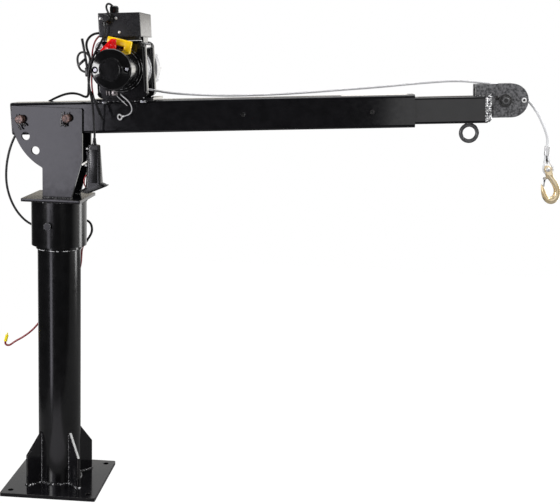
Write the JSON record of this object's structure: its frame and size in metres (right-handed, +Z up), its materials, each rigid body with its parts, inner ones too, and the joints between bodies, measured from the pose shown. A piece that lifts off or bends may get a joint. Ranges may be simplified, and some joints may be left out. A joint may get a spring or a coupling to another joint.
{
  "type": "pickup truck crane",
  "caption": "Swivelling hoist crane for a truck bed: bolted column, pinned luffing boom with a sliding inner boom, electric winch, wire rope over a sheave, and a latched hook.",
  "frame": {"origin": "the column's axis at the underside of the base plate, at the middle of its bolt holes", "axes": "+X along the boom from the column towards the hook, +Y away from the motor's end of the winch, +Z up"},
  "size_m": [1.4245, 0.3603, 1.2574],
  "materials": {
    "black_paint": "satin black powder coat",
    "cast_paint": "rough black paint over a cast and flame-cut surface",
    "motor_paint": "gloss black enamel",
    "bright_steel": "bright zinc plate",
    "brown_steel": "oiled bare steel",
    "dark_steel": "blackened steel",
    "gold_zinc": "yellow zinc plate",
    "rope_wire": "galvanised wire rope",
    "bronze": "oiled bronze",
    "drum_plate": "pale zinc plate",
    "black_plastic": "moulded black plastic, lightly grained",
    "black_rubber": "soft black rubber",
    "red_rubber": "red vinyl",
    "yellow_rubber": "yellow vinyl",
    "white_nylon": "natural nylon"
  },
  "bodies": {
    "base": {"base_plate": "black_paint", "column_tube": "black_paint", "column_cap": "black_paint", "column_gussets": "black_paint", "thrust_washer": "white_nylon"},
    "turret": {"collar": "black_paint", "collar_bushes": "bronze", "collar_bolt": "dark_steel", "turret_plate": "black_paint", "bracket_plates": "black_paint", "pivot_pin": "brown_steel", "lock_pin": "brown_steel", "pin_clips": "bright_steel", "power_cable_lower": "black_rubber", "red_lead": "red_rubber", "lead_connectors": "yellow_rubber"},
    "boom": {"boom_tube": "black_paint", "boom_sleeves": "black_paint", "boom_set_screws": "dark_steel", "boom_rear_plug": "black_plastic", "winch_deck": "black_paint", "winch_support_motor": "black_paint", "winch_support_gear": "black_paint", "winch_bolts": "bright_steel", "winch_tie_bars": "bright_steel", "winch_motor": "motor_paint", "motor_end_cap": "motor_paint", "motor_screws": "bright_steel", "winch_gearbox": "cast_paint", "control_box_base": "black_paint", "control_box_cover": "black_paint", "contactor": "black_plastic", "box_screws": "bright_steel", "control_socket": "black_plastic", "pendant_plug": "black_plastic", "dust_cap": "black_rubber", "red_boot": "red_rubber", "yellow_boot": "yellow_rubber", "pendant_body": "black_plastic", "rope_span": "rope_wire", "power_cable_upper": "black_rubber", "pendant_cable": "black_rubber", "cable_loop": "black_rubber", "ground_wire": "black_rubber"},
    "drum": {"drum": "drum_plate", "rope_wound": "rope_wire"},
    "inner_boom": {"inner_tube": "black_paint", "head_cheeks": "cast_paint", "sheave_axle": "dark_steel", "keeper_pin": "bright_steel", "eye_bolt": "dark_steel", "rope_tail": "rope_wire"},
    "sheave": {"sheave": "drum_plate"},
    "rope_end": {"ferrule": "bright_steel", "rope_eye": "rope_wire"},
    "hook": {"hook": "gold_zinc", "hook_pins": "gold_zinc"},
    "latch": {"latch": "bright_steel"},
    "clutch": {"clutch_knob": "black_plastic"},
    "rocker": {"pendant_rocker": "black_plastic"}
  },
  "joints": [
    {"name": "swivel", "type": "hinge", "parent": "base", "child": "turret", "pos_m": [0, 0, 0.78], "axis": [0, 0, 1], "continuous": true},
    {"name": "boom_luff", "type": "hinge", "parent": "turret", "child": "boom", "pos_m": [0.036, 0, 0.979], "axis": [0, -1, 0], "range_deg": [0, 42], "deforming": ["power_cable_upper"]},
    {"name": "boom_extend", "type": "slide", "parent": "boom", "child": "inner_boom", "axis": [0.9981, 0, 0.061], "range_m": [-0.1, 0.4], "deforming": ["rope_span"]},
    {"name": "hoist", "type": "hinge", "parent": "boom", "child": "drum", "pos_m": [0.17159, 0, 1.10451], "axis": [0, -1, 0], "range_deg": [-28, 687], "deforming": ["rope_wound", "rope_span", "rope_tail"]},
    {"name": "hook_lower", "type": "slide", "parent": "inner_boom", "child": "rope_end", "axis": [0, 0, -1], "range_m": [-0.03, 0.61], "deforming": ["rope_tail"]},
    {"name": "sheave_spin", "type": "hinge", "parent": "inner_boom", "child": "sheave", "pos_m": [1.10874, 0, 1.06515], "axis": [0, 1, 0], "range_deg": [-60, 1150]},
    {"name": "hook_swing", "type": "hinge", "parent": "rope_end", "child": "hook", "pos_m": [1.23, 0, 0.9], "axis": [0, 1, 0], "range_deg": [-60, 60]},
    {"name": "latch_swing", "type": "hinge", "parent": "hook", "child": "latch", "pos_m": [1.225, 0, 0.8765], "axis": [0, -1, 0], "range_deg": [0, 35], "stiffness_Nm_per_rad": 0.02, "springref_deg": -28.65},
    {"name": "clutch_turn", "type": "hinge", "parent": "boom", "child": "clutch", "pos_m": [0.17159, 0, 1.10451], "axis": [0, 1, 0], "range_deg": [0, 90]},
    {"name": "rocker_press", "type": "hinge", "parent": "boom", "child": "rocker", "pos_m": [0.10046, -0.082, 0.889], "axis": [0, 1, 0], "range_deg": [-8, 8], "stiffness_Nm_per_rad": 0.06}
  ],
  "couplings": [
    {"joint": "hook_lower", "follows": "hoist", "m_per_rad": 0.05},
    {"joint": "sheave_spin", "follows": "hoist", "ratio": 1.65}
  ]
}
